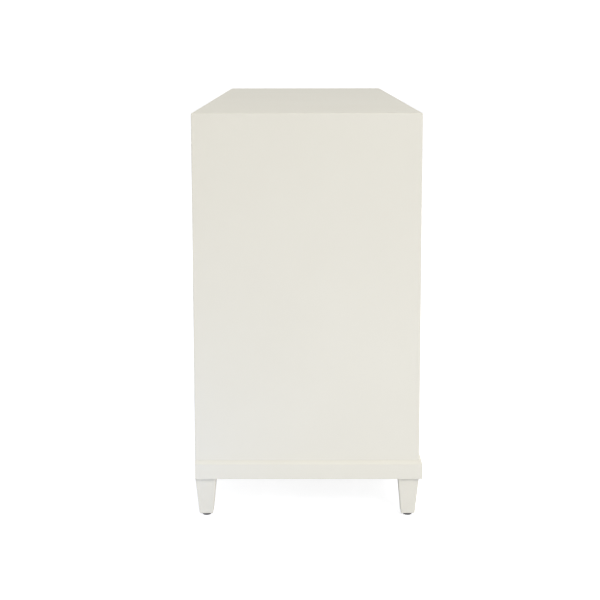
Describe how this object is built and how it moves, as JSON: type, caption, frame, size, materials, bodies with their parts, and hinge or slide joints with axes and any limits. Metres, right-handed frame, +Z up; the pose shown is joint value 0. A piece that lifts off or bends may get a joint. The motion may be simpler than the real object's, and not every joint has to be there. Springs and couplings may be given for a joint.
{
  "type": "dresser",
  "caption": "Wide white painted dresser: dovetailed drawers side by side in a mitred case, on a chamfered base frame with tapered square feet and levelling glides.",
  "frame": {"origin": "on the floor, under the middle of the box that holds the whole dresser with its drawers closed", "axes": "+Z up; the front faces -Y; +X to the right of someone who stands in front of it. The picture looks along +X at the left end"},
  "size_m": [1.538, 0.531, 0.914],
  "materials": {
    "white_paint": "wood or board under a warm white satin paint",
    "pale_hardwood": "bare pale hardwood, sanded and clear sealed",
    "birch_plywood": "clear sealed birch plywood",
    "backing_board": "thin board, painted matt off-white",
    "satin_nickel": "satin nickel plate on cast metal",
    "dark_grey_nylon": "moulded dark grey nylon"
  },
  "bodies": {
    "case": {"top_panel": "white_paint", "left_end_panel": "white_paint", "right_end_panel": "white_paint", "left_mitre_spline": "birch_plywood", "right_mitre_spline": "birch_plywood", "bottom_panel": "white_paint", "centre_partition": "white_paint", "left_frame_over_bottom": "pale_hardwood", "right_frame_over_bottom": "pale_hardwood", "left_frame_over_middle": "pale_hardwood", "right_frame_over_middle": "pale_hardwood", "back_panel": "backing_board", "base_front_rail": "white_paint", "base_left_rail": "white_paint", "base_right_rail": "white_paint", "base_back_rail": "white_paint", "front_left_foot": "white_paint", "front_right_foot": "white_paint", "back_left_foot": "white_paint", "back_right_foot": "white_paint"},
    "bottom_left_drawer": {"bottom_left_drawer_front": "white_paint", "bottom_left_drawer_left_side": "pale_hardwood", "bottom_left_drawer_right_side": "pale_hardwood", "bottom_left_drawer_back": "pale_hardwood", "bottom_left_drawer_bottom": "birch_plywood", "bottom_left_drawer_pull": "satin_nickel"},
    "bottom_right_drawer": {"bottom_right_drawer_front": "white_paint", "bottom_right_drawer_left_side": "pale_hardwood", "bottom_right_drawer_right_side": "pale_hardwood", "bottom_right_drawer_back": "pale_hardwood", "bottom_right_drawer_bottom": "birch_plywood", "bottom_right_drawer_pull": "satin_nickel"},
    "middle_left_drawer": {"middle_left_drawer_front": "white_paint", "middle_left_drawer_left_side": "pale_hardwood", "middle_left_drawer_right_side": "pale_hardwood", "middle_left_drawer_back": "pale_hardwood", "middle_left_drawer_bottom": "birch_plywood", "middle_left_drawer_pull": "satin_nickel"},
    "middle_right_drawer": {"middle_right_drawer_front": "white_paint", "middle_right_drawer_left_side": "pale_hardwood", "middle_right_drawer_right_side": "pale_hardwood", "middle_right_drawer_back": "pale_hardwood", "middle_right_drawer_bottom": "birch_plywood", "middle_right_drawer_pull": "satin_nickel"},
    "top_left_drawer": {"top_left_drawer_front": "white_paint", "top_left_drawer_left_side": "pale_hardwood", "top_left_drawer_right_side": "pale_hardwood", "top_left_drawer_back": "pale_hardwood", "top_left_drawer_bottom": "birch_plywood", "top_left_drawer_pull": "satin_nickel"},
    "top_right_drawer": {"top_right_drawer_front": "white_paint", "top_right_drawer_left_side": "pale_hardwood", "top_right_drawer_right_side": "pale_hardwood", "top_right_drawer_back": "pale_hardwood", "top_right_drawer_bottom": "birch_plywood", "top_right_drawer_pull": "satin_nickel"},
    "front_left_glide": {"front_left_glide": "dark_grey_nylon"},
    "front_right_glide": {"front_right_glide": "dark_grey_nylon"},
    "back_left_glide": {"back_left_glide": "dark_grey_nylon"},
    "back_right_glide": {"back_right_glide": "dark_grey_nylon"}
  },
  "joints": [
    {"name": "bottom_left_drawer_slide", "type": "slide", "parent": "case", "child": "bottom_left_drawer", "axis": [0, -1, 0], "range_m": [0, 0.36]},
    {"name": "bottom_right_drawer_slide", "type": "slide", "parent": "case", "child": "bottom_right_drawer", "axis": [0, -1, 0], "range_m": [0, 0.36]},
    {"name": "middle_left_drawer_slide", "type": "slide", "parent": "case", "child": "middle_left_drawer", "axis": [0, -1, 0], "range_m": [0, 0.36]},
    {"name": "middle_right_drawer_slide", "type": "slide", "parent": "case", "child": "middle_right_drawer", "axis": [0, -1, 0], "range_m": [0, 0.36]},
    {"name": "top_left_drawer_slide", "type": "slide", "parent": "case", "child": "top_left_drawer", "axis": [0, -1, 0], "range_m": [0, 0.36]},
    {"name": "top_right_drawer_slide", "type": "slide", "parent": "case", "child": "top_right_drawer", "axis": [0, -1, 0], "range_m": [0, 0.36]},
    {"name": "front_left_glide_turn", "type": "hinge", "parent": "case", "child": "front_left_glide", "pos_m": [-0.7385, -0.215, 0], "axis": [0, 0, 1], "continuous": true},
    {"name": "front_right_glide_turn", "type": "hinge", "parent": "case", "child": "front_right_glide", "pos_m": [0.7385, -0.215, 0], "axis": [0, 0, 1], "continuous": true},
    {"name": "back_left_glide_turn", "type": "hinge", "parent": "case", "child": "back_left_glide", "pos_m": [-0.7385, 0.242, 0], "axis": [0, 0, 1], "continuous": true},
    {"name": "back_right_glide_turn", "type": "hinge", "parent": "case", "child": "back_right_glide", "pos_m": [0.7385, 0.242, 0], "axis": [0, 0, 1], "continuous": true}
  ]
}
